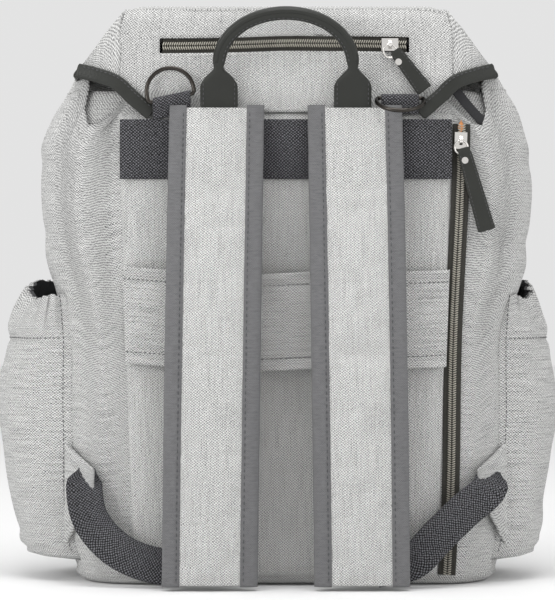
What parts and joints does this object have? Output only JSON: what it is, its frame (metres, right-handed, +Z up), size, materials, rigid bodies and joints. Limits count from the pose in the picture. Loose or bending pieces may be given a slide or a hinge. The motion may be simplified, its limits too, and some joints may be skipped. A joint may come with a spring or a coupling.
{
  "type": "baby changing backpack",
  "caption": "Soft rucksack for baby care with a hooded zipped lid, padded straps, carry handle, clip rings, side bottle pockets and a trolley sleeve.",
  "frame": {"origin": "on the ground under the middle of the bag", "axes": "+Z up, -Y towards the wearer, +X to the right when the straps are seen"},
  "size_m": [0.414, 0.2319, 0.417],
  "materials": {
    "melange_cloth": "woven light grey melange cloth",
    "binding_cloth": "dark grey binding tape",
    "webbing": "dark slate webbing with light flecks",
    "trim_leather": "matt grained dark grey leatherette",
    "zip_tape": "knitted zip tape",
    "zip_coil": "nylon coil",
    "zip_nickel": "bright nickel",
    "gunmetal": "dark plated wire",
    "copper_lining": "smooth copper-coloured lining",
    "dark_lining": "smooth dark facing",
    "foam": "closed-cell foam",
    "stiff_board": "polypropylene board",
    "elastic": "knitted elastic",
    "dark_plastic": "moulded acetal"
  },
  "bodies": {
    "bag": {"bottom_panel": "melange_cloth", "base_board": "stiff_board", "main_shell": "melange_cloth", "main_lining": "copper_lining", "mouth_facing": "dark_lining", "eyelets": "gunmetal", "back_panel": "melange_cloth", "back_foam": "foam", "anchor_band": "webbing", "trolley_sleeve": "melange_cloth", "side_wing_left": "melange_cloth", "side_wing_right": "melange_cloth", "lower_webbing_left": "webbing", "lower_webbing_right": "webbing", "side_pocket_left": "melange_cloth", "side_pocket_right": "melange_cloth", "pocket_elastic_left": "elastic", "pocket_elastic_right": "elastic", "back_zip_tape": "zip_tape", "back_zip_coil": "zip_coil", "lid_zip_tape": "zip_tape", "lid_zip_coil": "zip_coil", "front_zip_tape": "zip_tape", "front_zip_coil": "zip_coil", "front_pocket": "melange_cloth", "lid_rear_panel": "melange_cloth", "lid_rear_binding": "trim_leather", "snap_socket": "gunmetal", "handle_anchors": "trim_leather", "d_ring_loop_left": "webbing", "d_ring_loop_right": "webbing"},
    "strap_left": {"strap_foam_left": "foam", "shoulder_strap_left": "melange_cloth", "strap_binding_left": "binding_cloth", "strap_adjuster_left": "dark_plastic"},
    "strap_right": {"strap_foam_right": "foam", "shoulder_strap_right": "melange_cloth", "strap_binding_right": "binding_cloth", "strap_adjuster_right": "dark_plastic"},
    "handle": {"carry_handle": "trim_leather", "handle_core": "foam"},
    "ring_left": {"d_ring_left": "gunmetal"},
    "ring_right": {"d_ring_right": "gunmetal"},
    "back_slider": {"back_zip_slider": "zip_nickel"},
    "back_puller": {"back_pull_ring": "zip_nickel", "back_pull": "trim_leather", "back_pull_rivet": "zip_nickel"},
    "lid_slider": {"lid_zip_slider": "zip_nickel"},
    "lid_puller": {"lid_pull_ring": "zip_nickel", "lid_pull": "trim_leather", "lid_pull_rivet": "zip_nickel"},
    "front_slider": {"front_zip_slider": "zip_nickel"},
    "front_puller": {"front_pull_ring": "zip_nickel", "front_pull": "trim_leather", "front_pull_rivet": "zip_nickel"},
    "lid": {"lid_hood": "melange_cloth", "lid_hood_binding": "trim_leather"},
    "closer": {"closure_strap": "trim_leather", "snap_stud": "gunmetal"}
  },
  "joints": [
    {"name": "strap_left_swing", "type": "hinge", "parent": "bag", "child": "strap_left", "pos_m": [-0.0495, -0.0817, 0.3435], "axis": [-1, 0, 0], "range_deg": [0, 18], "deforming": ["lower_webbing_left"]},
    {"name": "strap_right_swing", "type": "hinge", "parent": "bag", "child": "strap_right", "pos_m": [0.0495, -0.0817, 0.3435], "axis": [-1, 0, 0], "range_deg": [0, 18], "deforming": ["lower_webbing_right"]},
    {"name": "handle_swing", "type": "hinge", "parent": "bag", "child": "handle", "pos_m": [0, -0.0789, 0.35], "axis": [1, 0, 0], "range_deg": [-3, 44]},
    {"name": "ring_left_swing", "type": "hinge", "parent": "bag", "child": "ring_left", "pos_m": [-0.082, -0.08, 0.351], "axis": [0.9781, 0, 0.2079], "range_deg": [0, 118]},
    {"name": "ring_right_swing", "type": "hinge", "parent": "bag", "child": "ring_right", "pos_m": [0.082, -0.08, 0.351], "axis": [1, 0, 0], "range_deg": [-118, 0]},
    {"name": "back_zip_slide", "type": "slide", "parent": "bag", "child": "back_slider", "axis": [-0.0319, 0, -0.9995], "range_m": [0, 0.302]},
    {"name": "back_pull_swing", "type": "hinge", "parent": "back_slider", "child": "back_puller", "pos_m": [0.12622, -0.0744, 0.32092], "axis": [-1, 0, 0], "range_deg": [0, 150]},
    {"name": "lid_zip_slide", "type": "slide", "parent": "bag", "child": "lid_slider", "axis": [-1, 0, 0], "range_m": [0, 0.149]},
    {"name": "lid_pull_swing", "type": "hinge", "parent": "lid_slider", "child": "lid_puller", "pos_m": [0.075, -0.0761, 0.39], "axis": [-1, 0, 0], "range_deg": [0, 100]},
    {"name": "front_zip_slide", "type": "slide", "parent": "bag", "child": "front_slider", "axis": [1, 0, 0], "range_m": [0, 0.152]},
    {"name": "front_pull_swing", "type": "hinge", "parent": "front_slider", "child": "front_puller", "pos_m": [-0.076, 0.1137, 0.176], "axis": [1, 0, 0], "range_deg": [0, 100]},
    {"name": "lid_open", "type": "hinge", "parent": "bag", "child": "lid", "pos_m": [0, -0.0689, 0.416], "axis": [1, 0, 0], "range_deg": [0, 110]},
    {"name": "closer_swing", "type": "hinge", "parent": "lid", "child": "closer", "pos_m": [0, 0.0864, 0.33], "axis": [1, 0, 0], "range_deg": [0, 94]}
  ]
}
